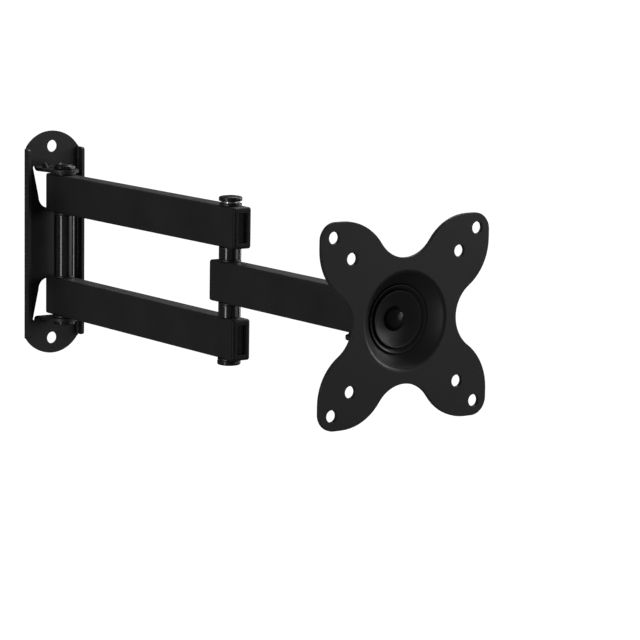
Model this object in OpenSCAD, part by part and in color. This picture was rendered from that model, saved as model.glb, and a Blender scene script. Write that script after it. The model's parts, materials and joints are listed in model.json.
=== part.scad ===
// Full motion wall mount for a small flat screen: wall plate, twin-link arm,
// forearm, clevis head, dished friction joint and four-lobed screen plate.
// The origin is the centre of the wall plate's back face. The wall is the
// plane y = 0, the arm reaches towards -Y and +Z is up. Millimetres.

/* [Wall plate] */
// Width over the two bent side flanges
plate_w = 43; // [41:0.5:48]
// Radius of the two rounded ends
plate_end_r = 23.2; // [23:0.1:26]
// Distance between the two wall screw holes
wall_pitch = 129; // [127:1:131]
// Diameter of a wall screw hole
wall_hole_d = 8; // [6:0.5:9]
// Sheet thickness of the wall plate
plate_t = 2; // [1.5:0.1:2.5]
// Depth of the side flanges, from the wall
flange_d = 7.5; // [6:0.5:8]

/* [Arm] */
// Distance from the wall to the wall pivot axis
pivot_y = 17.7; // [17.2:0.1:19.2]
// Wall pivot axis to elbow axis
link_l = 198.5; // [180:0.5:220]
// Elbow axis to head pivot axis
forearm_l = 137.5; // [120:0.5:160]
// Height of the rectangular arm tube
tube_h = 25.4; // [24:0.2:28]
// Thickness of the rectangular arm tube
tube_w = 12.7; // [12:0.1:14]
// Wall thickness of the arm tube
tube_t = 1.5; // [1.2:0.1:1.8]
// Vertical gap between the forearm and each link
link_gap = 8.9; // [8:0.1:12]

/* [Fasteners] */
// Shank diameter of the pivot and joint bolts
bolt_d = 8; // [7:0.5:8]
// Outer diameter of the spacer sleeves
sleeve_d = 13.8; // [13:0.1:14]

/* [Screen plate] */
// Larger hole pattern, centre to centre
vesa_outer = 100; // [100:100 mm square]
// Smaller hole pattern, centre to centre
vesa_inner = 75; // [75:75 mm square]
// Diameter of the screen screw holes
vesa_hole_d = 7; // [5:0.5:7]
// Sheet thickness of the screen plate
vesa_t = 2.5; // [2:0.1:2.9]
// Head pivot axis to the front face of the screen plate
head_l = 41.5; // [41:0.5:46]
// Spherical radius of the dish, on its front side
dish_r = 35; // [34:0.5:36]
// Diameter of the dish where it meets the flat plate
dish_d = 56; // [54:0.5:58]

/* [Hidden] */

$fn = 64;
over = 1;        // overshoot of a cutting tool
lap = 0.5;       // overlap of two shapes that are fused
run_gap = 0.05;  // clearance of a running fit, per side
bolt_fit = 0.03; // clearance of a bolt in its hole, per side

// --- derived heights and axis positions ---
elbow_y = pivot_y + link_l;
head_y = elbow_y + forearm_l;
face_y = head_y + head_l;
link_z0 = tube_h / 2 + link_gap;
link_z1 = link_z0 + tube_h;
link_mid = link_z0 + tube_h / 2;

// --- bush and tube details ---
tube_corner_r = 1.6;
tube_inner_r = 0.6;
bush_d = 11;
bush_flange_d = 15.4;
bush_flange_t = 1.4;
bush_bore_d = bolt_d + 2 * run_gap;
elbow_flange_d = 14;
end_reach = 13.8;
wall_end_gap = 3.3;  // distance from the wall to the caps beside it
wall_end_reach = pivot_y - wall_end_gap;
head_end_reach = 9.6;
cap_lip = 1.8;
cap_plug = 6;
cap_wall = 1.6;
cap_fit = 0.05;
cap_edge_r = 1.5;
cap_post_gap = 0.5;
recess_w = 6.6;
recess_h = 18;
recess_depth = 2;

// --- wall plate details ---
plate_half_h = 74.7;
plate_end_z = plate_half_h - plate_end_r;
flange_half_l = 63.3;
flange_corner_r = 2;
bend_r = 0.8;
ear_t = 2;
ear_z0 = link_z1 + bush_flange_t + run_gap;
ear_z1 = ear_z0 + ear_t;
ear_end_r = 9.4;
ear_base_half = 13.1;
ear_bend_r = 1.5;
ear_bend_z = ear_z1 + ear_bend_r;
window_top_half = 14.9;
window_low_half = 10.6;
window_low_z = 23.5;
window_low_r = 7.5;
relief_r = 1.3;
gusset_x = 5.6;
gusset_r = 1.6;
gusset_run = 3.4;

// --- screen plate outline ---
tip_r = 10.2;
tip_c = 48.5;
flank_r = 32;
flank_z = 43.4;      // height at which a lobe's straight side runs into its flank
flank_c = tip_c + tip_r - flank_r;
waist_half = 36;
// The waist arc is centred on an axis of the plate and touches two flank arcs
waist_c = (pow(flank_c, 2) + pow(flank_z, 2) - pow(flank_r - waist_half, 2))
    / (2 * (flank_c + flank_r - waist_half));
waist_r = waist_c - waist_half;

// --- dish stack, all shells concentric about the joint centre ---
joint_out = sqrt(pow(dish_r, 2) - pow(dish_d / 2, 2));
joint_y = face_y + joint_out;
washer_r0 = dish_r - 2.8;
washer_r1 = dish_r - 1.3;
front_liner_r0 = washer_r1 + run_gap;
front_liner_r1 = dish_r - run_gap;
dish_r1 = dish_r + vesa_t;
rear_liner_r0 = dish_r1 + run_gap;
rear_liner_r1 = rear_liner_r0 + 1.2;
seat_r = rear_liner_r1 + run_gap;
seat_min_t = 3;
web_t = 2.5;
web_front_y = joint_y - seat_r - seat_min_t;
washer_half = 16.5;
front_liner_half = 19.75;
rear_liner_half = 21.5;
seat_half = 22;
seat_back_half = 13;
seat_rim_t = 1.5;
dish_hole_d = 26;
liner_hole_d = 25;
rim_round = 3;
rim_lap = 1;
// Centre radius of the rolled rim, and the angle at which it meets the dish
rim_x = sqrt(pow(dish_r + rim_round, 2) - pow(joint_out + rim_round, 2));
rim_a = asin(rim_x / (dish_r + rim_round));

// --- head bracket ---
head_flange_t = 1.2;
head_ear_z0 = tube_h / 2 + head_flange_t + run_gap;
head_ear_t = 2.5;
head_ear_z1 = head_ear_z0 + head_ear_t;
head_ear_r = 9.4;
bracket_round = 4.5;

// --- fasteners ---
button_d = 14.4;
button_h = 3.4;
button_rim = 2.5;
dish_head_d = 14.4;
dish_head_h = 4.6;
dish_head_rim = 0.3;
socket_af = 5;
socket_depth = 2.2;
nut_af = 13;
nut_top_r = 6.7;
collar_r0 = 5.8;
collar_r1 = 4.9;
wall_nut_h = 3.5;
wall_collar_h = 0.9;
head_nut_h = 6.5;
head_collar_h = 2;
dish_nut_h = 4.6;
dish_collar_h = 1.4;
thread_short = 0.4;  // distance of a bolt end below the top of its nut
washer_ring_t = 1.4;
washer_ring_d = 11.6;
washer_slit_w = 0.8;
washer_slit_lean = 25;
washer_slit_turn = 30;
barrel_d = 9.4;
barrel_l = 16;
barrel_floor = 0.5;
barrel_end_gap = 0.5;

// ---------- shared shapes ----------

// Points of an arc from angle a0 to a1, in n steps
function arc(cx, cy, r, a0, a1, n) =
    [for (i = [0:n]) let (a = a0 + (a1 - a0) * i / n) [cx + r * cos(a), cy + r * sin(a)]];

// The same without the last point, for an arc that the next one continues
function open_arc(cx, cy, r, a0, a1, n) =
    [for (i = [0:n - 1]) let (a = a0 + (a1 - a0) * i / n) [cx + r * cos(a), cy + r * sin(a)]];

// Outline of a rectangle of width w and height h with rounded corners
function round_rect(w, h, r, n = 6) = concat(
    arc(w / 2 - r, h / 2 - r, r, 0, 90, n),
    arc(-w / 2 + r, h / 2 - r, r, 90, 180, n),
    arc(-w / 2 + r, -h / 2 + r, r, 180, 270, n),
    arc(w / 2 - r, -h / 2 + r, r, 270, 360, n));

// A prism along Y from y0 to y1 over an outline in X and Z
module prism_y(points, y0, y1) {
    translate([0, y1, 0])
    rotate([90, 0, 0])
    linear_extrude(y1 - y0)
    polygon(points);
}

// A prism along X, centred, over an outline in Y and Z
module prism_x(points, width) {
    rotate([90, 0, 90])
    translate([0, 0, -width / 2])
    linear_extrude(width)
    polygon(points);
}

// A vertical cylinder on an arm axis
module post(y, z0, z1, d) {
    translate([0, -y, z0])
    cylinder(d = d, h = z1 - z0);
}

// A cylinder along Y between two distances from the wall
module rod_y(y0, y1, d) {
    translate([0, -y0, 0])
    rotate([90, 0, 0])
    cylinder(d = d, h = y1 - y0);
}

// A hexagonal prism along +Z
module hexagon(af, h) {
    cylinder(d = af / cos(30), h = h, $fn = 6);
}

// A flanged bush standing on z = 0, with its barrel downwards
module bush(flange_d, flange_t, barrel, bore_d) {
    difference() {
        union() {
            cylinder(d = flange_d, h = flange_t);
            translate([0, 0, -barrel])
            cylinder(d = bush_d - 2 * cap_fit, h = barrel + lap);
        }
        translate([0, 0, -barrel - over])
        cylinder(d = bore_d, h = barrel + flange_t + 2 * over);
    }
}

// A round head standing on z = 0: an upright rim under a dome
module domed_head(d, h, rim) {
    dome = h - rim;
    dome_r = (pow(d / 2, 2) + pow(dome, 2)) / (2 * dome);
    intersection() {
        cylinder(d = d, h = h);
        translate([0, 0, h - dome_r])
        sphere(r = dome_r, $fn = 96);
    }
}

// The low domed head of a pivot bolt, with its hexagon socket
module button_head() {
    difference() {
        domed_head(button_d, button_h, button_rim);
        translate([0, 0, button_h - socket_depth])
        hexagon(socket_af, socket_depth + over);
    }
}

// A hexagon nut with a 30 degree chamfer and a locking collar, on z = 0
module lock_nut(h, collar) {
    body = h - collar;
    difference() {
        union() {
            intersection() {
                hexagon(nut_af, body);
                cylinder(r1 = nut_top_r + body / tan(30), r2 = nut_top_r, h = body);
            }
            translate([0, 0, body - lap])
            cylinder(r = collar_r0, h = lap);
            translate([0, 0, body])
            cylinder(r1 = collar_r0, r2 = collar_r1, h = collar);
        }
        translate([0, 0, -over])
        cylinder(d = bolt_d + 2 * bolt_fit, h = h + 2 * over);
    }
}

// A rectangular arm tube between two distances from the wall
module arm_tube(y0, y1, z_mid, hole_axes, hole_d) {
    difference() {
        translate([0, 0, z_mid])
        prism_y(round_rect(tube_w, tube_h, tube_corner_r), -y1, -y0);
        translate([0, 0, z_mid])
        prism_y(round_rect(tube_w - 2 * tube_t, tube_h - 2 * tube_t, tube_inner_r, 3),
            -y1 - over, -y0 + over);
        for (y = hole_axes)
            post(y, z_mid - tube_h, z_mid + tube_h, hole_d);
    }
}

// A plastic cap for the tube end that lies beyond the axis at distance axis_y.
// dir is 1 where the lip points away from the wall and -1 where it points to it.
module end_cap(axis_y, reach, z_mid, dir) {
    seat = reach - cap_lip;
    inner_w = tube_w - 2 * tube_t - 2 * cap_fit;
    inner_h = tube_h - 2 * tube_t - 2 * cap_fit;
    lip = cap_lip;
    r = cap_edge_r;
    plan = concat([[-tube_w / 2, 0]],
        arc(-tube_w / 2 + r, lip - r, r, 180, 90, 5),
        arc(tube_w / 2 - r, lip - r, r, 90, 0, 5),
        [[tube_w / 2, 0]]);
    side = concat([[0, -tube_h / 2]],
        arc(lip - r, -tube_h / 2 + r, r, 270, 360, 5),
        arc(lip - r, tube_h / 2 - r, r, 0, 90, 5),
        [[0, tube_h / 2]]);
    translate([0, -axis_y - dir * seat, z_mid])
    rotate([0, 0, dir > 0 ? 180 : 0])
    difference() {
        union() {
            intersection() {
                translate([0, 0, -tube_h])
                linear_extrude(2 * tube_h)
                polygon(plan);
                prism_x(side, 2 * tube_w);
                prism_y(round_rect(tube_w, tube_h, tube_corner_r), -over, lip + over);
            }
            prism_y(round_rect(inner_w, inner_h, tube_inner_r, 3), -cap_plug, lap);
        }
        translate([-recess_w / 2, lip - recess_depth, -recess_h / 2])
        cube([recess_w, recess_depth + over, recess_h]);
        translate([-inner_w / 2 + cap_wall, -cap_plug - over, -inner_h / 2 + cap_wall])
        cube([inner_w - 2 * cap_wall, cap_plug + over + lip - recess_depth - cap_wall,
            inner_h - 2 * cap_wall]);
        post(seat, -tube_h, tube_h, bush_d + 2 * cap_post_gap);
    }
}

// ---------- wall plate ----------

// Channel-shaped sheet with two rounded ends and two side flanges
module plate_channel() {
    half = plate_w / 2;
    r0 = bend_r;
    r1 = bend_r + plate_t;
    bend_x = half - r1;
    section = concat(
        [[half, -flange_d]],
        arc(bend_x, -r1, r1, 0, 90, 5),
        arc(-bend_x, -r1, r1, 90, 180, 5),
        [[-half, -flange_d], [-half + plate_t, -flange_d]],
        arc(-bend_x, -r1, r0, 180, 90, 4),
        arc(bend_x, -r1, r0, 90, 0, 4),
        [[half - plate_t, -flange_d]]);
    end_a = acos((half - plate_t) / plate_end_r);
    front = concat(
        arc(0, plate_end_z, plate_end_r, end_a, 180 - end_a, 24),
        [[-half + plate_t, flange_half_l], [-half, flange_half_l]],
        [[-half, -flange_half_l], [-half + plate_t, -flange_half_l]],
        arc(0, -plate_end_z, plate_end_r, 180 + end_a, 360 - end_a, 24),
        [[half - plate_t, -flange_half_l], [half, -flange_half_l]],
        [[half, flange_half_l], [half - plate_t, flange_half_l]]);
    r = flange_corner_r;
    side = concat(
        [[over, -plate_half_h - over], [over, plate_half_h + over]],
        [[-r1, plate_half_h + over], [-r1, flange_half_l]],
        arc(-flange_d + r, flange_half_l - r, r, 90, 180, 5),
        arc(-flange_d + r, -flange_half_l + r, r, 180, 270, 5),
        [[-r1, -flange_half_l], [-r1, -plate_half_h - over]]);
    intersection() {
        linear_extrude(2 * (plate_half_h + over), center = true)
        polygon(section);
        prism_y(front, -flange_d - over, over);
        prism_x(side, plate_w + 2 * over);
    }
}

// Opening left in the sheet where the ear was cut free and bent forward
module ear_window() {
    low_x = window_low_half - window_low_r;
    low_z = window_low_z + window_low_r;
    top_x = window_top_half - relief_r;
    top_z = ear_bend_z - relief_r;
    outline = concat(
        arc(top_x, top_z, relief_r, 0, 90, 5),
        arc(-top_x, top_z, relief_r, 90, 180, 5),
        arc(-low_x, low_z, window_low_r, 180, 270, 8),
        arc(low_x, low_z, window_low_r, 270, 360, 8));
    prism_y(outline, -plate_t - over, over);
}

// Horizontal ear with its bend, its bolt hole and two pressed gussets
module ear() {
    r0 = ear_bend_r;
    r1 = ear_bend_r + ear_t;
    reach = pivot_y + ear_end_r + over;
    bend_y = -plate_t - r0;
    profile = concat(
        [[0, ear_bend_z + over]],
        arc(bend_y, ear_bend_z, r1, 0, -90, 6),
        [[-reach, ear_z0], [-reach, ear_z1]],
        arc(bend_y, ear_bend_z, r0, -90, 0, 6),
        [[-plate_t, ear_bend_z + over]]);
    taper = asin((ear_base_half - ear_end_r) / pivot_y);
    plan = concat(
        [[ear_base_half, 0]],
        arc(0, -pivot_y, ear_end_r, -taper, -180 + taper, 24),
        [[-ear_base_half, 0]]);
    difference() {
        union() {
            intersection() {
                prism_x(profile, 2 * ear_base_half);
                linear_extrude(2 * plate_half_h)
                polygon(plan);
            }
            for (s = [-1, 1])
                gusset(s * gusset_x);
        }
        post(pivot_y, ear_z0 - over, ear_z1 + over, bolt_d + 2 * bolt_fit);
    }
}

// Rib pressed across the bend of an ear, in the corner beyond it
module gusset(x) {
    sunk = gusset_r / sqrt(2);
    intersection() {
        translate([x, -plate_t - gusset_run / 2 + sunk, ear_z1 + gusset_run / 2 - sunk])
        rotate([-45, 0, 0])
        cylinder(r = gusset_r, h = 3 * gusset_run, center = true);
        translate([x - gusset_r, -plate_t - 2 * gusset_run, ear_z1 - ear_t / 2])
        cube([2 * gusset_r, 2 * gusset_run + plate_t / 2, 3 * gusset_run]);
    }
}

module wall_plate() {
    color([0.07, 0.07, 0.07])
    difference() {
        union() {
            difference() {
                plate_channel();
                ear_window();
                mirror([0, 0, 1]) ear_window();
            }
            ear();
            mirror([0, 0, 1]) ear();
        }
        for (z = [-wall_pitch / 2, wall_pitch / 2])
            translate([0, 0, z])
            rod_y(-over, plate_t + over, wall_hole_d);
    }
}

module wall_pivot_bolt() {
    color([0.05, 0.05, 0.05]) {
        post(pivot_y, -ear_z1 - lap, ear_z1 + wall_nut_h - thread_short, bolt_d);
        translate([0, -pivot_y, -ear_z1])
        mirror([0, 0, 1])
        button_head();
    }
}

module wall_pivot_nut() {
    color([0.05, 0.05, 0.05])
    translate([0, -pivot_y, ear_z1])
    rotate([0, 0, 30])
    lock_nut(wall_nut_h, wall_collar_h);
}

// ---------- twin-link arm ----------

module link_tube(side) {
    arm_tube(wall_end_gap + cap_lip, elbow_y + end_reach - cap_lip,
        side * link_mid, [pivot_y, elbow_y], bush_d);
}

module upper_link_tube() {
    color([0.09, 0.09, 0.09]) link_tube(1);
}

module lower_link_tube() {
    color([0.09, 0.09, 0.09]) link_tube(-1);
}

module upper_link_wall_cap() {
    color([0.06, 0.06, 0.06]) end_cap(pivot_y, wall_end_reach, link_mid, -1);
}

module upper_link_elbow_cap() {
    color([0.06, 0.06, 0.06]) end_cap(elbow_y, end_reach, link_mid, 1);
}

module lower_link_wall_cap() {
    color([0.06, 0.06, 0.06]) end_cap(pivot_y, wall_end_reach, -link_mid, -1);
}

module lower_link_elbow_cap() {
    color([0.06, 0.06, 0.06]) end_cap(elbow_y, end_reach, -link_mid, 1);
}

module wall_spacer_sleeve() {
    color([0.05, 0.05, 0.05])
    difference() {
        post(pivot_y, -link_z0 + bush_flange_t, link_z0 - bush_flange_t, sleeve_d);
        post(pivot_y, -link_z0, link_z0, bush_bore_d);
    }
}

module wall_upper_bush() {
    color([0.04, 0.04, 0.04])
    translate([0, -pivot_y, link_z1])
    bush(bush_flange_d, bush_flange_t, tube_h / 2 - run_gap, bush_bore_d);
}

module wall_lower_bush() {
    color([0.04, 0.04, 0.04])
    translate([0, -pivot_y, -link_z1])
    mirror([0, 0, 1])
    bush(bush_flange_d, bush_flange_t, tube_h / 2 - run_gap, bush_bore_d);
}

module wall_inner_bushes() {
    color([0.04, 0.04, 0.04])
    for (s = [0, 1])
        mirror([0, 0, s])
        translate([0, -pivot_y, link_z0])
        mirror([0, 0, 1])
        bush(sleeve_d, bush_flange_t, tube_h / 2 - run_gap, bush_bore_d);
}

module elbow_upper_bush() {
    color([0.04, 0.04, 0.04])
    translate([0, -elbow_y, link_z1])
    bush(elbow_flange_d, bush_flange_t, tube_h, bush_bore_d);
}

module elbow_lower_bush() {
    color([0.04, 0.04, 0.04])
    translate([0, -elbow_y, -link_z1])
    mirror([0, 0, 1])
    difference() {
        bush(elbow_flange_d, bush_flange_t, tube_h, bush_bore_d);
        translate([0, 0, bush_flange_t - barrel_l - over])
        cylinder(d = barrel_d + 2 * bolt_fit, h = barrel_l + 2 * over);
    }
}

module elbow_spacer(side) {
    color([0.05, 0.05, 0.05])
    mirror([0, 0, side < 0 ? 1 : 0])
    difference() {
        post(elbow_y, tube_h / 2 + bush_flange_t + run_gap, link_z0, sleeve_d);
        post(elbow_y, 0, link_z1, bush_bore_d);
    }
}

module elbow_upper_spacer() {
    elbow_spacer(1);
}

module elbow_lower_spacer() {
    elbow_spacer(-1);
}

module elbow_bolt() {
    head_z = link_z1 + bush_flange_t + washer_ring_t;
    end_z = -link_z1 - bush_flange_t + barrel_floor + barrel_end_gap;
    color([0.05, 0.05, 0.05]) {
        post(elbow_y, end_z, head_z + lap, bolt_d);
        translate([0, -elbow_y, head_z])
        button_head();
    }
}

module elbow_spring_washer() {
    z0 = link_z1 + bush_flange_t;
    color([0.5, 0.5, 0.5])
    difference() {
        post(elbow_y, z0, z0 + washer_ring_t, washer_ring_d);
        post(elbow_y, z0 - over, z0 + washer_ring_t + over, bolt_d + 4 * bolt_fit);
        translate([0, -elbow_y, z0 + washer_ring_t / 2])
        rotate([0, 0, washer_slit_turn])
        rotate([washer_slit_lean, 0, 0])
        translate([0, -washer_slit_w / 2, -2 * washer_ring_t])
        cube([washer_ring_d, washer_slit_w, 4 * washer_ring_t]);
    }
}

module elbow_barrel_nut() {
    color([0.05, 0.05, 0.05])
    translate([0, -elbow_y, -link_z1 - bush_flange_t])
    mirror([0, 0, 1])
    difference() {
        union() {
            button_head();
            translate([0, 0, -barrel_l])
            cylinder(d = barrel_d, h = barrel_l + lap);
        }
        translate([0, 0, -barrel_l - over])
        cylinder(d = bolt_d + 2 * bolt_fit, h = barrel_l + over - barrel_floor);
    }
}

// ---------- forearm ----------

module forearm_tube() {
    color([0.09, 0.09, 0.09])
    arm_tube(elbow_y - end_reach + cap_lip, head_y + head_end_reach - cap_lip,
        0, [elbow_y, head_y], bush_d);
}

module forearm_elbow_cap() {
    color([0.06, 0.06, 0.06]) end_cap(elbow_y, end_reach, 0, -1);
}

module forearm_head_cap() {
    color([0.06, 0.06, 0.06]) end_cap(head_y, head_end_reach, 0, 1);
}

module forearm_elbow_bushes() {
    color([0.04, 0.04, 0.04])
    for (s = [0, 1])
        mirror([0, 0, s])
        translate([0, -elbow_y, tube_h / 2])
        bush(sleeve_d, bush_flange_t, tube_h / 2 - run_gap, bush_bore_d);
}

module forearm_head_bushes() {
    color([0.04, 0.04, 0.04])
    for (s = [0, 1])
        mirror([0, 0, s])
        translate([0, -head_y, tube_h / 2])
        bush(bush_flange_d, head_flange_t, tube_h / 2 - run_gap, bush_bore_d);
}

// ---------- head ----------

// Clevis: two rounded ears joined by a web that carries the dish joint
module head_bracket() {
    r1 = bracket_round;
    r0 = bracket_round - web_t;
    bend_y = -web_front_y + r1;
    bend_z = head_ear_z1 - r1;
    side = concat(
        [[-web_front_y, 0]],
        arc(bend_y, bend_z, r1, 180, 90, 6),
        [[-head_y + head_ear_r, head_ear_z1], [-head_y + head_ear_r, head_ear_z0]],
        arc(bend_y, bend_z, r0, 90, 180, 4),
        [[-web_front_y + web_t, 0]]);
    plan = concat(
        arc(0, -head_y, head_ear_r, 0, 180, 24),
        [[-head_ear_r, -web_front_y - over], [head_ear_r, -web_front_y - over]]);
    color([0.08, 0.08, 0.08])
    difference() {
        for (s = [0, 1])
            mirror([0, 0, s])
            intersection() {
                prism_x(side, 2 * (head_ear_r + over));
                linear_extrude(2 * tube_h, center = true)
                polygon(plan);
            }
        post(head_y, -head_ear_z1 - over, head_ear_z1 + over, bolt_d + 2 * bolt_fit);
        rod_y(head_y, web_front_y + over, bolt_d + 2 * bolt_fit);
    }
}

module head_pivot_bolt() {
    color([0.05, 0.05, 0.05]) {
        post(head_y, -head_ear_z1 - head_nut_h + thread_short, head_ear_z1 + lap, bolt_d);
        translate([0, -head_y, head_ear_z1])
        button_head();
    }
}

module head_pivot_nut() {
    color([0.05, 0.05, 0.05])
    translate([0, -head_y, -head_ear_z1])
    mirror([0, 0, 1])
    lock_nut(head_nut_h, head_collar_h);
}

// A spherical shell about the joint centre, trimmed to a round disc with a hole
module dish_shell(r0, r1, half, hole_d) {
    difference() {
        intersection() {
            translate([0, -joint_y, 0])
            sphere(r = r1, $fn = 96);
            rod_y(web_front_y - over, joint_y, 2 * half);
        }
        translate([0, -joint_y, 0])
        sphere(r = r0, $fn = 96);
        rod_y(web_front_y - 2 * over, joint_y, hole_d);
    }
}

module rear_seat() {
    rim_y = joint_y - sqrt(pow(seat_r, 2) - pow(seat_half, 2));
    cone_h = rim_y - web_front_y - seat_rim_t;
    color([0.08, 0.08, 0.08])
    difference() {
        translate([0, -web_front_y, 0])
        rotate([90, 0, 0])
        union() {
            cylinder(r1 = seat_back_half, r2 = seat_half, h = cone_h);
            translate([0, 0, cone_h])
            cylinder(r = seat_half, h = seat_rim_t);
        }
        translate([0, -joint_y, 0])
        sphere(r = seat_r, $fn = 96);
        rod_y(web_front_y - over, joint_y, bolt_d + 2 * bolt_fit);
    }
}

module front_cup_washer() {
    color([0.08, 0.08, 0.08])
    dish_shell(washer_r0, washer_r1, washer_half, bolt_d + 2 * bolt_fit);
}

module dish_bolt() {
    head_at = joint_y - sqrt(pow(washer_r0, 2) - pow(dish_head_d / 2, 2));
    end_at = web_front_y - web_t - dish_nut_h + thread_short;
    color([0.04, 0.04, 0.04]) {
        rod_y(end_at, head_at + lap, bolt_d);
        translate([0, -head_at, 0])
        rotate([90, 0, 0])
        domed_head(dish_head_d, dish_head_h, dish_head_rim);
    }
}

module dish_lock_nut() {
    color([0.05, 0.05, 0.05])
    translate([0, -web_front_y + web_t, 0])
    rotate([-90, 0, 0])
    lock_nut(dish_nut_h, dish_collar_h);
}

module rear_liner() {
    color([0.04, 0.04, 0.04])
    dish_shell(rear_liner_r0, rear_liner_r1, rear_liner_half, liner_hole_d);
}

module front_liner() {
    color([0.04, 0.04, 0.04])
    dish_shell(front_liner_r0, front_liner_r1, front_liner_half, liner_hole_d);
}

// ---------- screen plate ----------

// One corner lobe, from the middle of one waist to the middle of the next
function lobe_points() =
    let (wa = atan2(flank_z, waist_c - flank_c))
    concat(
        open_arc(waist_c, 0, waist_r, 180, 180 - wa, 10),
        arc(flank_c, flank_z, flank_r, -wa, 0, 10),
        arc(tip_c, tip_c, tip_r, 0, 90, 16),
        open_arc(flank_z, flank_c, flank_r, 90, 90 + wa, 10),
        open_arc(0, waist_c, waist_r, 270 + wa, 270, 10));

function turned(points, a) =
    [for (p = points) [p[0] * cos(a) - p[1] * sin(a), p[0] * sin(a) + p[1] * cos(a)]];

function plate_outline() = [for (a = [0:90:270]) each turned(lobe_points(), a)];

// Half section of the dish and its rolled rim: radius, and depth behind the face
function dish_section() =
    let (
        front_a = asin(dish_hole_d / 2 / dish_r),
        rear_a = asin(dish_hole_d / 2 / dish_r1),
        rim_inner = rim_round - vesa_t
    )
    concat(
        [for (i = [0:20]) let (a = front_a + (rim_a - front_a) * i / 20)
            [dish_r * sin(a), dish_r * cos(a) - joint_out]],
        [for (i = [1:8]) let (a = rim_a * (1 - i / 8))
            [rim_x - rim_round * sin(a), rim_round - rim_round * cos(a)]],
        [[rim_x + 2 * rim_lap, 0], [rim_x + 2 * rim_lap, vesa_t]],
        [for (i = [0:7]) let (a = rim_a * i / 8)
            [rim_x - rim_inner * sin(a), rim_round - rim_inner * cos(a)]],
        [for (i = [0:20]) let (a = rim_a + (rear_a - rim_a) * i / 20)
            [dish_r1 * sin(a), dish_r1 * cos(a) - joint_out]]);

module screen_plate() {
    color([0.09, 0.09, 0.09])
    difference() {
        union() {
            difference() {
                prism_y(plate_outline(), -face_y, -face_y + vesa_t);
                rod_y(face_y - vesa_t - over, face_y + over, 2 * (rim_x + rim_lap));
            }
            translate([0, -face_y, 0])
            rotate([-90, 0, 0])
            rotate_extrude()
            polygon(dish_section());
        }
        for (pitch = [vesa_outer, vesa_inner], x = [-0.5, 0.5], z = [-0.5, 0.5])
            translate([x * pitch, 0, z * pitch])
            rod_y(face_y - vesa_t - over, face_y + over, vesa_hole_d);
    }
}

wall_plate();
wall_pivot_bolt();
wall_pivot_nut();
upper_link_tube();
lower_link_tube();
upper_link_wall_cap();
upper_link_elbow_cap();
lower_link_wall_cap();
lower_link_elbow_cap();
wall_spacer_sleeve();
wall_upper_bush();
wall_lower_bush();
wall_inner_bushes();
elbow_upper_bush();
elbow_lower_bush();
elbow_upper_spacer();
elbow_lower_spacer();
elbow_bolt();
elbow_spring_washer();
elbow_barrel_nut();
forearm_tube();
forearm_elbow_cap();
forearm_head_cap();
forearm_elbow_bushes();
forearm_head_bushes();
head_bracket();
head_pivot_bolt();
head_pivot_nut();
rear_seat();
dish_bolt();
dish_lock_nut();
front_cup_washer();
rear_liner();
front_liner();
screen_plate();
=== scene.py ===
"""The looks of the full motion wall mount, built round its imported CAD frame. Metres, +Z up."""

import json
import math

import bmesh
import bpy
from mathutils import Matrix, Vector


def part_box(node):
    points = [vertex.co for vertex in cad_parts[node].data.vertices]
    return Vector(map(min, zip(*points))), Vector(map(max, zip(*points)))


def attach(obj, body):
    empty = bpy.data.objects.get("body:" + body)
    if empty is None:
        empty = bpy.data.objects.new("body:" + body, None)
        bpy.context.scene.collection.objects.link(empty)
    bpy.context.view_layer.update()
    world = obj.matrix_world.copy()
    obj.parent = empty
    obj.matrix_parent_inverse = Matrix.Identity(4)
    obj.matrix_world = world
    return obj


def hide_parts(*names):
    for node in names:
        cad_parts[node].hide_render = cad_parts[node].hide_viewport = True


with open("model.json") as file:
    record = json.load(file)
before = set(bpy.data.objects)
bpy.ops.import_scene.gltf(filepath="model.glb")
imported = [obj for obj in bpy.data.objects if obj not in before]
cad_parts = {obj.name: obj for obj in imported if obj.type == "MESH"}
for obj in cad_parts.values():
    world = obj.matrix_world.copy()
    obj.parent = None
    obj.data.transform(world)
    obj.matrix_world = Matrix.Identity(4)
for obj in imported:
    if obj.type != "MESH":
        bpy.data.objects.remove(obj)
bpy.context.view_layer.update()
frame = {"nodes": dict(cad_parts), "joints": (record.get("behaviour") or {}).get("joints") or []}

MM = 0.001
ROUND = 64                # points round a turned piece
TAU = 2 * math.pi

# Sizes that the boxes of the nodes don't show: bolts and nuts
BOLT_R = 4.0 * MM
HEAD_H = 3.4 * MM
HEAD_RIM = 2.5 * MM           # height of a pivot bolt head's upright side
HEAD_SHOULDER = 0.9 * MM      # rounding between that side and the dome
DISH_HEAD_H = 4.6 * MM
DISH_HEAD_RIM = 0.3 * MM
SOCKET_AF = 5.0 * MM          # across flats
SOCKET_DEPTH = 2.2 * MM
NUT_AF = 13.0 * MM            # across flats
NUT_FIT = 0.03 * MM           # gap between a nut's bore and the shank
COLLAR_R = 5.8 * MM           # locking collar of a nut
WALL_COLLAR_H = 0.9 * MM
HEAD_COLLAR_H = 2.0 * MM
DISH_COLLAR_H = 1.4 * MM
BARREL_NUT_R = 4.7 * MM

# Bushes
BORE_R = 4.05 * MM
BARREL_R = 5.45 * MM
BARREL_NUT_BORE_R = 4.75 * MM

# Dish joint: radii about its centre, which lies in front of the screen plate
DISH_R = 35.0 * MM            # front face of the screen plate's dish
SHEET_T = 2.5 * MM
LINER_T = 1.2 * MM
LINER_FIT = 0.05 * MM
WASHER_FRONT_R = DISH_R - 2.8 * MM
WASHER_BACK_R = DISH_R - 1.3 * MM
FRONT_LINER_R = DISH_R - 1.25 * MM
REAR_LINER_R = DISH_R + SHEET_T + LINER_FIT
LINER_HOLE_R = 12.5 * MM

HEX_HALF = math.pi / 6        # half the angle that one side of a hexagon spans

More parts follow.
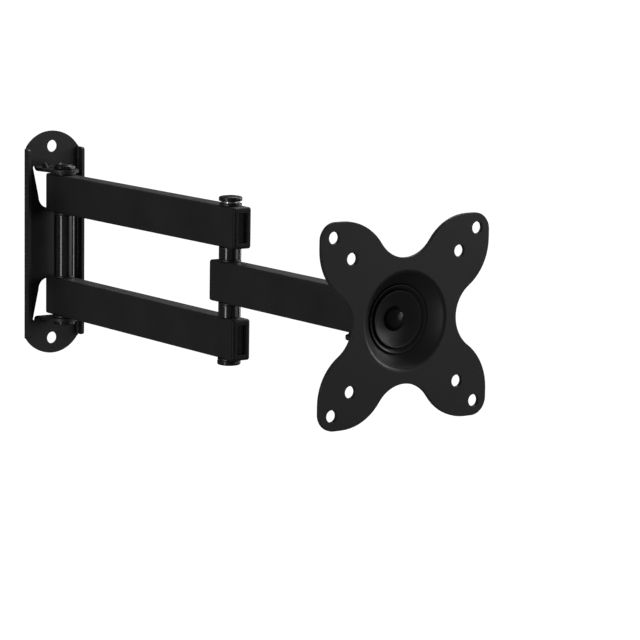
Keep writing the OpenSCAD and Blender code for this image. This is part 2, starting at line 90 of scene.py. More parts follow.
# The view: degrees, metres, and the lens and sensor in millimetres
VIEW_AZIMUTH = -35.37
VIEW_ELEVATION = 8.79
VIEW_ROLL = 0.88
VIEW_DISTANCE = 1.851
VIEW_TARGET = (0.0498, -0.2419, -0.0240)
VIEW_LENS = 169.44
SENSOR_WIDTH = 36
LIT_POINT = (0, -0.2, 0)


# ---------- meshes ----------

def new_piece(name, bm):
    """A smooth-shaded object in the scene made from a bmesh, with its faces turned outwards."""
    bmesh.ops.recalc_face_normals(bm, faces=bm.faces[:])
    mesh = bpy.data.meshes.new(name)
    bm.to_mesh(mesh)
    bm.free()
    piece = bpy.data.objects.new(name, mesh)
    bpy.context.scene.collection.objects.link(piece)
    for polygon in mesh.polygons:
        polygon.use_smooth = True
    weigh = piece.modifiers.new("weighted normals", "WEIGHTED_NORMAL")
    weigh.weight = 90
    weigh.keep_sharp = True
    return piece


def soften(points, radius, steps=4, closed=True):
    """The outline with each corner replaced by an arc of that radius, as far as its sides allow.

    radius is one number, or a list with one for each corner.
    """
    nearly_straight = math.radians(178)
    nothing = 1e-9            # a side shorter than this has no direction
    share = 0.48              # most of a side that one arc may take
    made = []
    count = len(points)
    for i, here in enumerate(points):
        at_end = not closed and i in (0, count - 1)
        size = radius[i] if isinstance(radius, (list, tuple)) else radius
        here = Vector(here)
        back = Vector(points[i - 1]) - here
        on = Vector(points[(i + 1) % count]) - here
        if at_end or size <= 0 or back.length < nothing or on.length < nothing:
            made.append(here)
            continue
        turn = back.angle(on)
        if turn > nearly_straight:
            made.append(here)
            continue
        reach = min(size / math.tan(turn / 2), share * back.length, share * on.length)
        real = reach * math.tan(turn / 2)
        middle = (back.normalized() + on.normalized()).normalized()
        centre = here + middle * (real / math.sin(turn / 2))
        start = here + back.normalized() * reach - centre
        end = here + on.normalized() * reach - centre
        sweep = start.angle_signed(end)
        for k in range(steps + 1):
            a = -sweep * k / steps
            made.append(centre + Vector((
                start.x * math.cos(a) - start.y * math.sin(a),
                start.x * math.sin(a) + start.y * math.cos(a))))
    return made


def add_loft(bm, rings, loop=False):
    """Skins rings of equal length. loop joins the last to the first, otherwise the ends are closed."""
    rows = [[bm.verts.new(p) for p in ring] for ring in rings]
    size = len(rows[0])
    pairs = list(zip(rows, rows[1:]))
    if loop:
        pairs.append((rows[-1], rows[0]))
    for a, b in pairs:
        for i in range(size):
            j = (i + 1) % size
            bm.faces.new((a[i], a[j], b[j], b[i]))
    if not loop:
        bm.faces.new(rows[0])
        bm.faces.new(rows[-1])


def circle(radius, height, count=ROUND):
    """Points round local Z at that height."""
    return [(radius * math.cos(TAU * i / count), radius * math.sin(TAU * i / count), height)
            for i in range(count)]


def circles(matrix, profile, count=ROUND):
    """One placed circle for each (radius, height) point."""
    return [[matrix @ Vector(p) for p in circle(r, h, count)] for r, h in profile]


def add_turned(bm, profile, matrix, loop=False, count=ROUND):
    """A body of revolution about local Z over (radius, height) points."""
    add_loft(bm, circles(matrix, profile, count), loop=loop)


def standing(x, y, z):
    """Local +Z is world +Z."""
    return Matrix.Translation((x, y, z))


def hanging(x, y, z):
    """Local +Z is world -Z."""
    return Matrix.Translation((x, y, z)) @ Matrix.Rotation(math.pi, 4, "X")


def facing_out(x, y, z):
    """Local +Z is world -Y, the way that the screen faces."""
    return Matrix.Translation((x, y, z)) @ Matrix.Rotation(math.pi / 2, 4, "X")


def facing_wall(x, y, z):
    """Local +Z is world +Y."""
    return Matrix.Translation((x, y, z)) @ Matrix.Rotation(-math.pi / 2, 4, "X")


def middle_and_radius(node):
    """Y of the axis of a round node that stands upright, and its outer radius."""
    low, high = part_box(node)
    return (low.y + high.y) / 2, (high.y - low.y) / 2


def stand_in(piece, node, body, slot):
    """The piece takes a node's place, on its body and with its slot's finish."""
    piece.data.materials.append(FINISH[slot])
    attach(piece, body)
    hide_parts(node)


# ---------- materials ----------

class Surface:
    """A Principled material with noise in object space, so that it moves with its piece."""

    def __init__(self, name, roughness, metallic=0.0, specular=0.5):
        self.material = bpy.data.materials.new(name)
        self.material.use_nodes = True
        self.tree = self.material.node_tree
        self.shader = self.tree.nodes["Principled BSDF"]
        self.shader.inputs["Roughness"].default_value = roughness
        self.shader.inputs["Metallic"].default_value = metallic
        self.shader.inputs["Specular IOR Level"].default_value = specular
        self.place = self.tree.nodes.new("ShaderNodeTexCoord").outputs["Object"]

    def node(self, kind, **values):
        """A new shader node with those properties."""
        made = self.tree.nodes.new(kind)
        for key, value in values.items():
            setattr(made, key, value)
        return made

    def link(self, output, target):
        self.tree.links.new(output, target)

    def noise(self, size, detail, rough=0.5, squeeze=None):
        """Noise whose features are about size metres across, or longer where squeeze is under 1."""
        place = self.place
        if squeeze:
            mapping = self.node("ShaderNodeMapping")
            mapping.inputs["Scale"].default_value = squeeze
            self.link(place, mapping.inputs["Vector"])
            place = mapping.outputs["Vector"]
        made = self.node("ShaderNodeTexNoise")
        made.inputs["Scale"].default_value = 1 / size
        made.inputs["Detail"].default_value = detail
        made.inputs["Roughness"].default_value = rough
        self.link(place, made.inputs["Vector"])
        return made.outputs["Fac"]

    def spread(self, value, low, high, start=0.3, stop=0.7):
        """The value stretched from start..stop to low..high."""
        made = self.node("ShaderNodeMapRange")
        made.inputs["From Min"].default_value = start
        made.inputs["From Max"].default_value = stop
        made.inputs["To Min"].default_value = low
        made.inputs["To Max"].default_value = high
        self.link(value, made.inputs["Value"])
        return made.outputs["Result"]

    def tint(self, value, dark, light, start=0.3, stop=0.7):
        """A colour that runs from dark to light with the value."""
        ramp = self.node("ShaderNodeValToRGB")
        ramp.color_ramp.elements[0].position = start
        ramp.color_ramp.elements[0].color = (*dark, 1)
        ramp.color_ramp.elements[1].position = stop
        ramp.color_ramp.elements[1].color = (*light, 1)
        self.link(value, ramp.inputs["Fac"])
        return ramp.outputs["Color"]

    def maths(self, operation, a, b):
        """A sum or product. a and b are numbers or sockets."""
        made = self.node("ShaderNodeMath", operation=operation)
        for value, target in zip((a, b), made.inputs):
            if isinstance(value, (int, float)):
                target.default_value = value
            else:
                self.link(value, target)
        return made.outputs["Value"]

    def edges(self, radius):
        """1 on edges and corners sharper than the radius, 0 on open faces."""
        bevel = self.node("ShaderNodeBevel", samples=4)
        bevel.inputs["Radius"].default_value = radius
        geometry = self.node("ShaderNodeNewGeometry")
        dot = self.node("ShaderNodeVectorMath", operation="DOT_PRODUCT")
        self.link(bevel.outputs["Normal"], dot.inputs[0])
        self.link(geometry.outputs["Normal"], dot.inputs[1])
        sharp, flat = 0.75, 0.99
        return self.spread(dot.outputs["Value"], 1.0, 0.0, sharp, flat)

    def mix(self, factor, a, b):
        """The colour a where factor is 0, b where it is 1. b is a plain colour."""
        made = self.node("ShaderNodeMix", data_type="RGBA")
        factor_in, a_in, b_in, colour_out = 0, 6, 7, 2    # its sockets for colours share their names
        self.link(factor, made.inputs[factor_in])
        self.link(a, made.inputs[a_in])
        made.inputs[b_in].default_value = (*b, 1)
        return made.outputs[colour_out]

    def bump(self, *layers):
        """Layers of (height, depth in metres) stacked into the shader's normal."""
        normal = None
        for height, depth in layers:
            made = self.node("ShaderNodeBump")
            made.inputs["Strength"].default_value = 1.0
            made.inputs["Distance"].default_value = depth
            self.link(height, made.inputs["Height"])
            if normal:
                self.link(normal, made.inputs["Normal"])
            normal = made.outputs["Normal"]
        self.link(normal, self.shader.inputs["Normal"])

    def colour(self, value):
        self.link(value, self.shader.inputs["Base Color"])

    def roughness(self, value):
        self.link(value, self.shader.inputs["Roughness"])


def powder_coat():
    """Fine satin powder coat: orange peel, a faint speckle, thinner and paler on edges."""
    s = Surface("powder coat", 0.42)
    patch = s.noise(22 * MM, 3)
    peel = s.noise(1.1 * MM, 2)
    grain = s.noise(0.28 * MM, 2)
    base = s.tint(patch, (0.0125, 0.0125, 0.0128), (0.0185, 0.0185, 0.0187))
    worn = s.maths("MULTIPLY", s.edges(0.5 * MM), s.spread(peel, 0.0, 1.0, 0.45, 0.65))
    s.colour(s.mix(worn, base, (0.045, 0.045, 0.046)))
    speckle = s.spread(grain, -0.035, 0.035)
    s.roughness(s.maths("ADD", s.spread(patch, 0.39, 0.47), speckle))
    s.bump((peel, 0.022 * MM), (grain, 0.008 * MM))
    return s.material


def sleeve_paint():
    """Smoother, glossier black paint on the round sleeves, with faint drawing lines along Z."""
    s = Surface("sleeve paint", 0.16, specular=1.0)
    patch = s.noise(9 * MM, 3)
    lines = s.noise(0.9 * MM, 3, squeeze=(1, 1, 0.03))
    base = s.tint(patch, (0.003, 0.003, 0.0031), (0.006, 0.006, 0.0061))
    worn = s.maths("MULTIPLY", s.edges(0.3 * MM), s.spread(lines, 0.0, 0.5, 0.4, 0.7))
    s.colour(s.mix(worn, base, (0.03, 0.03, 0.03)))
    s.roughness(s.maths("ADD", s.spread(patch, 0.13, 0.19), s.spread(lines, -0.02, 0.02)))
    s.bump((lines, 0.002 * MM))
    return s.material


def cap_plastic():
    """Moulded black plastic with a fine spark texture."""
    s = Surface("moulded cap plastic", 0.5, specular=0.3)
    patch = s.noise(7 * MM, 3)
    spark = s.noise(0.35 * MM, 3, 0.65)
    # The base is darker than the bearing plastic. This is partly the caps' own black and partly
    # painted shade standing in for the shade in their recesses.
    s.colour(s.tint(patch, (0.0045, 0.0045, 0.0046), (0.0075, 0.0075, 0.0076)))
    s.roughness(s.maths("ADD", s.spread(patch, 0.46, 0.54), s.spread(spark, -0.05, 0.05)))
    s.bump((spark, 0.02 * MM))
    return s.material


def bearing_plastic():
    """Smooth black plastic with a faint mottle."""
    s = Surface("bearing plastic", 0.34)
    patch = s.noise(5 * MM, 3)
    fine = s.noise(0.5 * MM, 2)
    s.colour(s.tint(patch, (0.009, 0.009, 0.0092), (0.015, 0.015, 0.0152)))
    s.roughness(s.maths("ADD", s.spread(patch, 0.3, 0.38), s.spread(fine, -0.03, 0.03)))
    s.bump((fine, 0.007 * MM))
    return s.material


def black_fastener():
    """Black oxide on steel: dark metal with a mottled finish, paler on its edges."""
    s = Surface("black fastener", 0.25, metallic=0.4)
    patch = s.noise(3.5 * MM, 3)
    fine = s.noise(0.3 * MM, 2)
    base = s.tint(patch, (0.016, 0.016, 0.0165), (0.026, 0.026, 0.0265))
    worn = s.maths("MULTIPLY", s.edges(0.2 * MM), s.spread(patch, 0.1, 0.6, 0.35, 0.65))
    s.colour(s.mix(worn, base, (0.05, 0.05, 0.05)))
    s.roughness(s.maths("ADD", s.spread(patch, 0.21, 0.28), s.spread(fine, -0.02, 0.02)))
    s.bump((fine, 0.002 * MM))
    return s.material


def bright_steel():
    """Zinc-plated spring steel with fine lines and a mottled roughness."""
    s = Surface("bright steel", 0.25, metallic=1.0)
    patch = s.noise(1.6 * MM, 3)
    lines = s.noise(0.25 * MM, 2, squeeze=(1, 1, 4))
    s.colour(s.tint(patch, (0.48, 0.49, 0.50), (0.62, 0.63, 0.64)))
    s.roughness(s.maths("ADD", s.spread(patch, 0.2, 0.34), s.spread(lines, -0.04, 0.04)))
    s.bump((lines, 0.004 * MM))
    return s.material


FINISH = {
    "powder_coat": powder_coat(),
    "sleeve_paint": sleeve_paint(),
    "cap_plastic": cap_plastic(),
    "bearing_plastic": bearing_plastic(),
    "black_fastener": black_fastener(),
    "bright_steel": bright_steel(),
}


# ---------- pieces that keep the CAD shape ----------

def refined(node, body, slot, edge, steps=3):
    """A clean copy of a CAD node: welded, flat faces joined, edges rounded."""
    bm = bmesh.new()
    bm.from_mesh(frame["nodes"][node].data)
    weld = 0.002 * MM
    flat = math.radians(0.6)
    bmesh.ops.remove_doubles(bm, verts=bm.verts[:], dist=weld)
    bmesh.ops.dissolve_limit(bm, angle_limit=flat, verts=bm.verts[:], edges=bm.edges[:])
    for layer in list(bm.loops.layers.float_vector.values()):
        bm.loops.layers.float_vector.remove(layer)
    piece = new_piece(node + "_finish", bm)
    attributes = piece.data.attributes
    for carried in ("custom_normal", "sharp_edge"):
        if carried in attributes:
            attributes.remove(attributes[carried])
    bevel = piece.modifiers.new("rounded edges", "BEVEL")
    bevel.width = edge
    bevel.segments = steps
    bevel.limit_method = "ANGLE"
    bevel.angle_limit = math.radians(32)
    bevel.use_clamp_overlap = True
    bevel.miter_outer = "MITER_ARC"
    piece.modifiers.move(1, 0)    # the bevel comes before the weighted normals
    stand_in(piece, node, body, slot)


def sheet_metal():
    """The wall plate, the clevis and the three tubes."""
    refined("wall_plate", "wall", "powder_coat", 0.35 * MM)
    refined("head_bracket", "head", "powder_coat", 0.4 * MM)
    for node in ("upper_link_tube", "lower_link_tube"):
        refined(node, "links", "powder_coat", 0.15 * MM, 2)
    refined("forearm_tube", "forearm", "powder_coat", 0.15 * MM, 2)


# ---------- fasteners ----------

def hex_radius(angle, across_flats, corner):
    """Distance from the centre to a hexagon's side, with its corners cut back by corner."""
    a = (angle + HEX_HALF) % (2 * HEX_HALF) - HEX_HALF
    side = across_flats / 2 / math.cos(HEX_HALF - abs(a))
    limit = across_flats / 2 / math.cos(HEX_HALF) - corner
    return min(side, limit)


def polar_ring(matrix, radius_of, height_of, count):
    """A placed ring whose radius depends on the angle, and its height on the radius."""
    ring = []
    for i in range(count):
        a = TAU * i / count
        r = radius_of(a)
        ring.append(matrix @ Vector((r * math.cos(a), r * math.sin(a), height_of(r))))
    return ring


def socket_rings(seat, floor_z, mouth_z, count):
    """Rings that lead from a round mouth down the hexagon socket to its drilled floor."""
    corner = 0.12 * MM
    flare = 0.22 * MM
    drill_r = 0.6 * MM
    drill_depth = 0.5 * MM
    steps = (                 # growth of the hexagon, its scale, height
        (flare, 1, mouth_z - 0.04 * MM),
        (flare * 0.3, 1, mouth_z - 0.16 * MM),
        (0, 1, mouth_z - 0.4 * MM),
        (0, 1, floor_z + 0.1 * MM),
        (0, 0.9, floor_z),
    )
    rings = []
    for grow, scale, z in steps:
        rings.append(polar_ring(seat, lambda a: hex_radius(a, SOCKET_AF, corner) * scale + grow,
                                lambda r: z, count))
    rings += circles(seat, [(drill_r, floor_z - drill_depth)], count)
    return rings


def button_bolt(name, seat, head_r, head_h, rim, length, shank_r=BOLT_R, socket=True, count=72):
    """A bolt: domed head on +Z, with or without a hexagon socket, and a chamfered shank on -Z."""
    dome = head_h - rim
    dome_r = (head_r ** 2 + dome ** 2) / (2 * dome)
    socket_mouth_r = SOCKET_AF / 2 / math.cos(HEX_HALF) + 0.25 * MM
    mouth_r = socket_mouth_r if socket else 0.4 * MM

    def dome_z(r):
        return head_h - dome_r + math.sqrt(max(dome_r ** 2 - r ** 2, 0))

    edge = 0.3 * MM
    fillet = 0.3 * MM
    tip_chamfer = 0.8 * MM
    outline = [(shank_r * 0.8, -length), (shank_r, -length + tip_chamfer), (shank_r, -fillet),
               (shank_r + fillet, 0), (head_r - edge, 0), (head_r, edge)]
    inner_r = head_r - 2 * HEAD_SHOULDER
    if rim > 2 * edge:
        corner = [(head_r, edge), (head_r, rim), (inner_r, dome_z(inner_r))]
        outline += [tuple(p) for p in soften(corner, HEAD_SHOULDER, 6, closed=False)[1:-1]]
    else:
        inner_r = head_r
    steps = 12
    crown = [(r, dome_z(r)) for r in
             [inner_r - (inner_r - mouth_r) * k / steps for k in range(steps + 1)]]
    rings = circles(seat, outline + crown, count)
    if socket:
        rings += socket_rings(seat, head_h - SOCKET_DEPTH, dome_z(mouth_r), count)
    bm = bmesh.new()
    add_loft(bm, rings)
    return new_piece(name, bm)


def lock_nut(name, seat, height, collar, turn=0.0, count=96):
    """A hexagon nut with chamfered corners and a rounded locking collar."""
    seat = seat @ Matrix.Rotation(turn, 4, "Z")
    body = height - collar
    slope = math.tan(math.radians(30))
    face_r = NUT_AF / 2 * 0.96
    corner = 0.35 * MM
    bore = BOLT_R + NUT_FIT
    bore_chamfer = 0.4 * MM

    def side(a):
        return hex_radius(a, NUT_AF, corner)

    def chamfer(r):
        return max(0.02 * MM, (r - face_r) * slope)

    rings = circles(seat, [(bore + bore_chamfer, 0), (face_r, 0)], count)
    rings.append(polar_ring(seat, side, chamfer, count))
    rings.append(polar_ring(seat, side, lambda r: body - chamfer(r), count))
    rings += circles(seat, [(face_r, body)], count)
    collar_side = [(face_r, body), (COLLAR_R + 0.3 * MM, body),
                   (COLLAR_R - 0.1 * MM, body + 0.35 * MM), (COLLAR_R - 0.45 * MM, height),
                   (bore + 0.5 * MM, height), (bore + 0.15 * MM, height - 0.5 * MM)]
    rings += circles(seat, soften(collar_side, 0.5 * MM, 4, closed=False)[1:], count)
    rings += circles(seat, [(bore, height - 0.6 * MM), (bore, bore_chamfer)], count)
    bm = bmesh.new()
    add_loft(bm, rings, loop=True)
    return new_piece(name, bm)


def wall_fasteners():
    """The long bolt through both links at the wall, its head below, and its nut on top."""
    y, head_r = middle_and_radius("wall_pivot_bolt")
    tip_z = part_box("wall_pivot_bolt")[1].z
    nut_low, nut_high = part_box("wall_pivot_nut")
    seat_z = nut_low.z        # the lower ear's face is as far below the middle
    bolt = button_bolt("wall_pivot_bolt_finish", hanging(0, y, -seat_z), head_r,
                       HEAD_H, HEAD_RIM, tip_z + seat_z)
    stand_in(bolt, "wall_pivot_bolt", "wall", "black_fastener")
    nut = lock_nut("wall_pivot_nut_finish", standing(0, y, nut_low.z), nut_high.z - nut_low.z,
                   WALL_COLLAR_H, HEX_HALF)
    stand_in(nut, "wall_pivot_nut", "wall", "black_fastener")


def elbow_fasteners():
    """The elbow's bolt from above, its barrel nut from below and the spring washer."""
    y, head_r = middle_and_radius("elbow_bolt")
    tip_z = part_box("elbow_bolt")[0].z
    ring_low, ring_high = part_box("elbow_spring_washer")
    seat = standing(0, y, ring_high.z)
    bolt = button_bolt("elbow_bolt_finish", seat, head_r, HEAD_H, HEAD_RIM, ring_high.z - tip_z)
    stand_in(bolt, "elbow_bolt", "links", "black_fastener")

    nut_head_r = middle_and_radius("elbow_barrel_nut")[1]
    nut_tip_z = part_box("elbow_barrel_nut")[1].z
    bush_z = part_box("elbow_lower_bush")[0].z
    head = button_bolt("elbow_barrel_nut_finish", hanging(0, y, bush_z), nut_head_r,
                       HEAD_H, HEAD_RIM, nut_tip_z - bush_z, BARREL_NUT_R)
    stand_in(head, "elbow_barrel_nut", "links", "black_fastener")

    ring = spring_washer("elbow_spring_washer_finish", seat,
                         middle_and_radius("elbow_spring_washer")[1], ring_high.z - ring_low.z)
    stand_in(ring, "elbow_spring_washer", "links", "bright_steel")


def spring_washer(name, seat, outer_r, height, turns=0.965, count=72):
    """Almost one turn of square wire with rounded edges, sprung a little apart, under the seat."""
    inner_r = BOLT_R + 0.1 * MM
    rise = 0.22 * MM
    wire = height - rise
    rounding = 0.25 * MM
    section = soften([(inner_r, 0), (outer_r, 0), (outer_r, wire), (inner_r, wire)], rounding, 3)
    rings = []
    for i in range(count + 1):
        a = TAU * turns * i / count
        lift = rise * i / count - height
        ring = [seat @ Vector((r * math.cos(a), r * math.sin(a), h + lift)) for r, h in section]
        rings.append(ring)
    bm = bmesh.new()
    add_loft(bm, rings)
    return new_piece(name, bm)


def head_fasteners():
    """The clevis bolt and its nut, and the dish joint's bolt and nut."""
    y, head_r = middle_and_radius("head_pivot_bolt")
    tip_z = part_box("head_pivot_bolt")[0].z
    ear_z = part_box("head_bracket")[1].z
    bolt = button_bolt("head_pivot_bolt_finish", standing(0, y, ear_z), head_r,
                       HEAD_H, HEAD_RIM, ear_z - tip_z)
    stand_in(bolt, "head_pivot_bolt", "head", "black_fastener")
    nut_low, nut_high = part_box("head_pivot_nut")
    nut = lock_nut("head_pivot_nut_finish", hanging(0, y, nut_high.z), nut_high.z - nut_low.z,
                   HEAD_COLLAR_H)
    stand_in(nut, "head_pivot_nut", "head", "black_fastener")

    low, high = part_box("dish_bolt")
    head_r = (high.x - low.x) / 2
    head_y = screen_joint_y() + math.sqrt(WASHER_FRONT_R ** 2 - head_r ** 2)
    bolt = button_bolt("dish_bolt_finish", facing_out(0, head_y, 0), head_r,
                       DISH_HEAD_H, DISH_HEAD_RIM, high.y - head_y, socket=False)
    stand_in(bolt, "dish_bolt", "head", "black_fastener")
    nut_low, nut_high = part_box("dish_lock_nut")
    nut = lock_nut("dish_lock_nut_finish", facing_wall(0, nut_low.y, 0), nut_high.y - nut_low.y,
                   DISH_COLLAR_H)
    stand_in(nut, "dish_lock_nut", "head", "black_fastener")


# ---------- bushes and sleeves ----------

def add_bush(bm, seat, flange_r, flange_t, barrel, bore_r=BORE_R):
    """A flanged bush: the flange on local +Z of the tube's face, the barrel below it."""
    profile = [(bore_r, -barrel), (BARREL_R, -barrel), (BARREL_R, 0), (flange_r, 0),
               (flange_r, flange_t), (bore_r, flange_t)]
    radii = [0, 0.3 * MM, 0, 0.25 * MM, 0.35 * MM, 0.2 * MM]
    add_turned(bm, soften(profile, radii), seat, loop=True)


def outer_bush(node, tube, up):
    """A bush in the outer face of a link: the top of the upper link, the bottom of the lower."""
    low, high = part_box(node)
    tube_low, tube_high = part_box(tube)
    y, flange_r = middle_and_radius(node)
    bore_r = BARREL_NUT_BORE_R if node == "elbow_lower_bush" else BORE_R
    bm = bmesh.new()
    if up:
        add_bush(bm, standing(0, y, tube_high.z), flange_r, high.z - tube_high.z,
                 tube_high.z - low.z, bore_r)
    else:
        add_bush(bm, hanging(0, y, tube_low.z), flange_r, tube_low.z - low.z,
                 high.z - tube_low.z, bore_r)
    stand_in(new_piece(node + "_finish", bm), node, "links", "bearing_plastic")


def forearm_bushes(node):
    """A bush in the top and one in the bottom of the forearm, their barrels almost meeting."""
    y, flange_r = middle_and_radius(node)
    top_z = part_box(node)[1].z
    face_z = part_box("forearm_tube")[1].z
    barrel = face_z - 0.05 * MM
    bm = bmesh.new()
    for place, sign in ((standing, 1), (hanging, -1)):
        add_bush(bm, place(0, y, sign * face_z), flange_r, top_z - face_z, barrel)
    stand_in(new_piece(node + "_finish", bm), node, "forearm", "bearing_plastic")


def inner_bushes(node):
    """The two bushes between the links and the long sleeve at the wall."""
    y, flange_r = middle_and_radius(node)
    top_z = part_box(node)[1].z
    face_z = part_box("upper_link_tube")[0].z
    sleeve_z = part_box("wall_spacer_sleeve")[1].z
    bm = bmesh.new()
    for place, sign in ((hanging, 1), (standing, -1)):
        add_bush(bm, place(0, y, sign * face_z), flange_r, face_z - sleeve_z, top_z - face_z)
    stand_in(new_piece(node + "_finish", bm), node, "links", "bearing_plastic")


def bushes():
    """The plastic bushes of the wall pivot, the elbow and the head pivot."""
    outer_bush("wall_upper_bush", "upper_link_tube", True)
    outer_bush("wall_lower_bush", "lower_link_tube", False)
    outer_bush("elbow_upper_bush", "upper_link_tube", True)
    outer_bush("elbow_lower_bush", "lower_link_tube", False)
    inner_bushes("wall_inner_bushes")
    forearm_bushes("forearm_elbow_bushes")
    forearm_bushes("forearm_head_bushes")


def sleeves():
    """Plain round tubes with rounded outer edges."""
    radii = [0, 0.3 * MM, 0.3 * MM, 0]
    for node in ("wall_spacer_sleeve", "elbow_upper_spacer", "elbow_lower_spacer"):
        low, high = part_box(node)
        y, outer_r = middle_and_radius(node)
        profile = [(BORE_R, low.z), (outer_r, low.z), (outer_r, high.z), (BORE_R, high.z)]
        bm = bmesh.new()
        add_turned(bm, soften(profile, radii), standing(0, y, 0), loop=True)
        stand_in(new_piece(node + "_finish", bm), node, "links", "sleeve_paint")


# ---------- end caps ----------

def rounded_rectangle(width, height, radius, steps=6):
    """Points (x, z) round a rectangle about the origin, anticlockwise."""
    corners = ((1, 1, 0), (-1, 1, 90), (-1, -1, 180), (1, -1, 270))
    ring = []
    for sx, sz, start in corners:
        cx = sx * (width / 2 - radius)
        cz = sz * (height / 2 - radius)
        for k in range(steps + 1):
            a = math.radians(start + 90 * k / steps)
            ring.append((cx + radius * math.cos(a), cz + radius * math.sin(a)))
    return ring


def end_cap(node, body, tube):
    """A moulded plug: lip with a rounded edge, a rectangular recess and a stub in the tube."""
    low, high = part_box(node)
    tube_low, tube_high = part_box(tube)
    outwards = 1 if high.y > tube_high.y else -1
    lip_y = high.y if outwards > 0 else low.y
    seam_y = tube_high.y if outwards > 0 else tube_low.y
    lip = abs(lip_y - seam_y)
    stub = abs((low.y if outwards > 0 else high.y) - seam_y)
    mid_z = (low.z + high.z) / 2
    width, height = high.x - low.x, high.z - low.z
    corner = 1.6 * MM
    tightest = 0.3 * MM       # least corner radius of an inset ring
    edge = 1.5 * MM           # rounding of the lip
    edge_steps = 7
    wall = 1.55 * MM          # how far the stub stands in from the lip's outline
    stub_corner = 2.1 * MM
    tuck = 0.01 * MM
    seam = 0.12 * MM          # shadow line against the tube
    recess_w, recess_h, recess_d = 6.6 * MM, 18 * MM, 2 * MM
    recess_corner = 0.9 * MM
    recess_fillet = 0.2 * MM
    mouth = 0.35 * MM         # rounding of the recess's mouth
    mouth_steps = 3

    def ring(inset, depth, w=width, h=height, r=corner):
        r = max(r - inset, tightest)
        y = seam_y + outwards * depth
        points = rounded_rectangle(w - 2 * inset, h - 2 * inset, r)
        return [(x, y, mid_z + z) for x, z in points]

    def recess_ring(inset, depth):
        return ring(inset, depth, recess_w, recess_h, recess_corner)

    rings = [ring(wall, -stub, r=stub_corner), ring(wall, -tuck, r=stub_corner),
             ring(seam * 2, 0), ring(seam, 0), ring(0, seam)]
    for k in range(edge_steps + 1):
        a = math.pi / 2 * k / edge_steps
        rings.append(ring(edge * (1 - math.cos(a)), lip - edge + edge * math.sin(a)))
    for k in range(mouth_steps + 1):
        a = math.pi / 2 * k / mouth_steps
        rings.append(recess_ring(-mouth * (1 - math.sin(a)), lip - mouth * (1 - math.cos(a))))
    rings.append(recess_ring(0.08 * MM, lip - recess_d + recess_fillet))
    rings.append(recess_ring(0.3 * MM, lip - recess_d))
    bm = bmesh.new()
    add_loft(bm, rings)
    stand_in(new_piece(node + "_finish", bm), node, body, "cap_plastic")


def end_caps():
    """Two caps on each of the three tubes."""
    for end in ("wall", "elbow"):
        end_cap(f"upper_link_{end}_cap", "links", "upper_link_tube")
        end_cap(f"lower_link_{end}_cap", "links", "lower_link_tube")
    end_cap("forearm_elbow_cap", "forearm", "forearm_tube")
    end_cap("forearm_head_cap", "forearm", "forearm_tube")


# ---------- dish stack ----------

def screen_joint_y():
    """The centre of the dish's spheres, which is where the dish joint turns."""
    return next(j["pos_m"][1] for j in frame["joints"] if j["name"] == "plate_tilt")


def shell_profile(r0, r1, half, hole):
    """Half section of a spherical shell about the joint centre: radius, and distance towards +Y.

    r0 and r1 are its inner and outer radii, half its outer radius seen along Y, hole its hole's.
    """
    steps = 14

    def band(r, start, stop):
        a0, a1 = math.asin(start / r), math.asin(stop / r)
        return [(r * math.sin(a0 + (a1 - a0) * k / steps), r * math.cos(a0 + (a1 - a0) * k / steps))
                for k in range(steps + 1)]

    edge = min(0.35 * MM, 0.3 * (r1 - r0))
    inner = band(r0, hole + edge, half - edge)
    outer = band(r1, half - edge, hole + edge)
    rim = [(half, inner[-1][1] + edge), (half, outer[0][1] - edge)]
    lip = [(hole, outer[-1][1] - edge), (hole, inner[0][1] + edge)]
    return inner + rim + outer + lip


def dish_stack():
    """The cup washer and the two liners, which are spherical shells, and the rear seat."""
    joint = facing_wall(0, screen_joint_y(), 0)
    shells = (                # node, body, slot, inner and outer radius, radius of the hole
        ("front_cup_washer", "head", "powder_coat", WASHER_FRONT_R, WASHER_BACK_R, BOLT_R),
        ("front_liner", "pan_ring", "bearing_plastic", FRONT_LINER_R, FRONT_LINER_R + LINER_T,
         LINER_HOLE_R),
        ("rear_liner", "tilt_ring", "bearing_plastic", REAR_LINER_R, REAR_LINER_R + LINER_T,
         LINER_HOLE_R),
    )
    for node, body, slot, r0, r1, hole in shells:
        low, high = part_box(node)
        bm = bmesh.new()
        add_turned(bm, shell_profile(r0, r1, (high.x - low.x) / 2, hole), joint, loop=True, count=96)
        stand_in(new_piece(node + "_finish", bm), node, body, slot)
    refined("rear_seat", "head", "powder_coat", 0.3 * MM, 2)


# ---------- screen plate ----------

def screen_plate():
    """The four-lobed plate with its dish and eight holes."""
    refined("screen_plate", "screen_plate", "powder_coat", 0.4 * MM)


# ---------- studio ----------

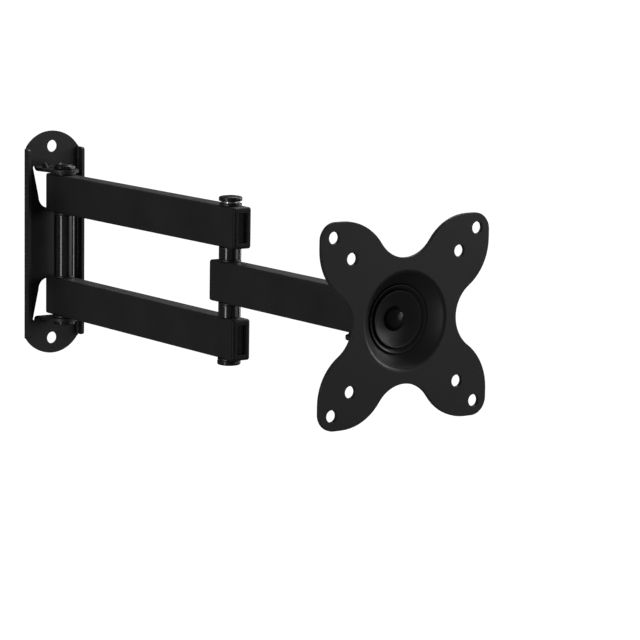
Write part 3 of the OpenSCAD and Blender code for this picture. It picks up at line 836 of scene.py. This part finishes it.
def studio():
    """Pale floor that turns up into a pale wall and ceiling, seen by the camera only."""
    floor_z = -2.3
    reach = 15.0
    bend = 4.0
    bend_steps = 8
    dome_steps = 12
    least_r = 0.01
    profile = [(least_r, floor_z), (reach - bend, floor_z)]
    for k in range(1, bend_steps + 1):
        a = math.pi / 2 * k / bend_steps
        profile.append((reach - bend + bend * math.sin(a), floor_z + bend * (1 - math.cos(a))))
    for k in range(1, dome_steps + 1):
        a = math.pi / 2 * k / dome_steps
        profile.append((max(reach * math.cos(a), least_r),
                        floor_z + bend + (reach - bend) * math.sin(a)))
    bm = bmesh.new()
    add_turned(bm, profile, Matrix.Identity(4), count=96)
    floor = new_piece("studio_floor", bm)
    material = bpy.data.materials.new("pale floor")
    material.use_nodes = True
    shader = material.node_tree.nodes["Principled BSDF"]
    shader.inputs["Base Color"].default_value = (0.8, 0.8, 0.8, 1)
    shader.inputs["Roughness"].default_value = 0.9
    shader.inputs["Emission Color"].default_value = (1, 1, 1, 1)
    shader.inputs["Emission Strength"].default_value = 1.0
    floor.data.materials.append(material)
    floor.visible_glossy = False
    floor.visible_diffuse = False
    floor.visible_shadow = False

    world = bpy.data.worlds.new("studio")
    bpy.context.scene.world = world
    world.use_nodes = True
    sky = world.node_tree.nodes["Background"]
    sky.inputs["Color"].default_value = (1, 1, 1, 1)
    sky.inputs["Strength"].default_value = 0.09


def direction(azimuth, elevation):
    """Unit vector towards a viewer at that azimuth and elevation in degrees. 0, 0 is -Y."""
    a, e = math.radians(azimuth), math.radians(elevation)
    return Vector((math.sin(a) * math.cos(e), -math.cos(a) * math.cos(e), math.sin(e)))


def softbox(name, azimuth, elevation, distance, width, height, power):
    """A rectangular area light that looks at the arm from that direction. Metres and watts."""
    light = bpy.data.lights.new(name, "AREA")
    light.shape = "RECTANGLE"
    light.size = width
    light.size_y = height
    light.energy = power
    lamp = bpy.data.objects.new(name, light)
    bpy.context.scene.collection.objects.link(lamp)
    back = direction(azimuth, elevation)
    lamp.location = Vector(LIT_POINT) + back * distance
    lamp.rotation_mode = "QUATERNION"
    lamp.rotation_quaternion = (-back).to_track_quat("-Z", "Y")
    lamp.visible_camera = False


def camera():
    """The camera at the angle, distance and field of view of the picture that is matched."""
    lens = bpy.data.cameras.new("camera")
    lens.lens = VIEW_LENS
    lens.sensor_width = SENSOR_WIDTH
    lens.clip_start = 0.05
    lens.clip_end = 60
    viewer = bpy.data.objects.new("camera", lens)
    bpy.context.scene.collection.objects.link(viewer)
    back = direction(VIEW_AZIMUTH, VIEW_ELEVATION)
    a = math.radians(VIEW_AZIMUTH)
    right = Vector((math.cos(a), math.sin(a), 0))
    up = back.cross(right)
    roll = math.radians(VIEW_ROLL)
    x_axis = right * math.cos(roll) + up * math.sin(roll)
    y_axis = up * math.cos(roll) - right * math.sin(roll)
    turn = Matrix((x_axis, y_axis, back)).transposed()
    viewer.location = Vector(VIEW_TARGET) + back * VIEW_DISTANCE
    viewer.rotation_mode = "QUATERNION"
    viewer.rotation_quaternion = turn.to_quaternion()
    bpy.context.scene.camera = viewer


def lights():
    """Azimuth and elevation in degrees, then distance, width, height and power."""
    softbox("key", -95, 30, 2.2, 0.6, 1.4, 8)
    softbox("upper right", 80, 18, 2.2, 1.1, 1.1, 22)
    softbox("front", 44, 6, 2.6, 1.4, 1.4, 6)
    softbox("left strip", -73, -6, 2.4, 0.5, 2.6, 14)
    softbox("right strip", 98, -6, 2.4, 0.3, 2.6, 8)
    softbox("top", 115, 55, 2.4, 2.0, 1.2, 32)


camera()
studio()
lights()
bpy.context.scene.view_settings.view_transform = "Standard"

sheet_metal()
wall_fasteners()
elbow_fasteners()
head_fasteners()
bushes()
sleeves()
end_caps()
dish_stack()
screen_plate()
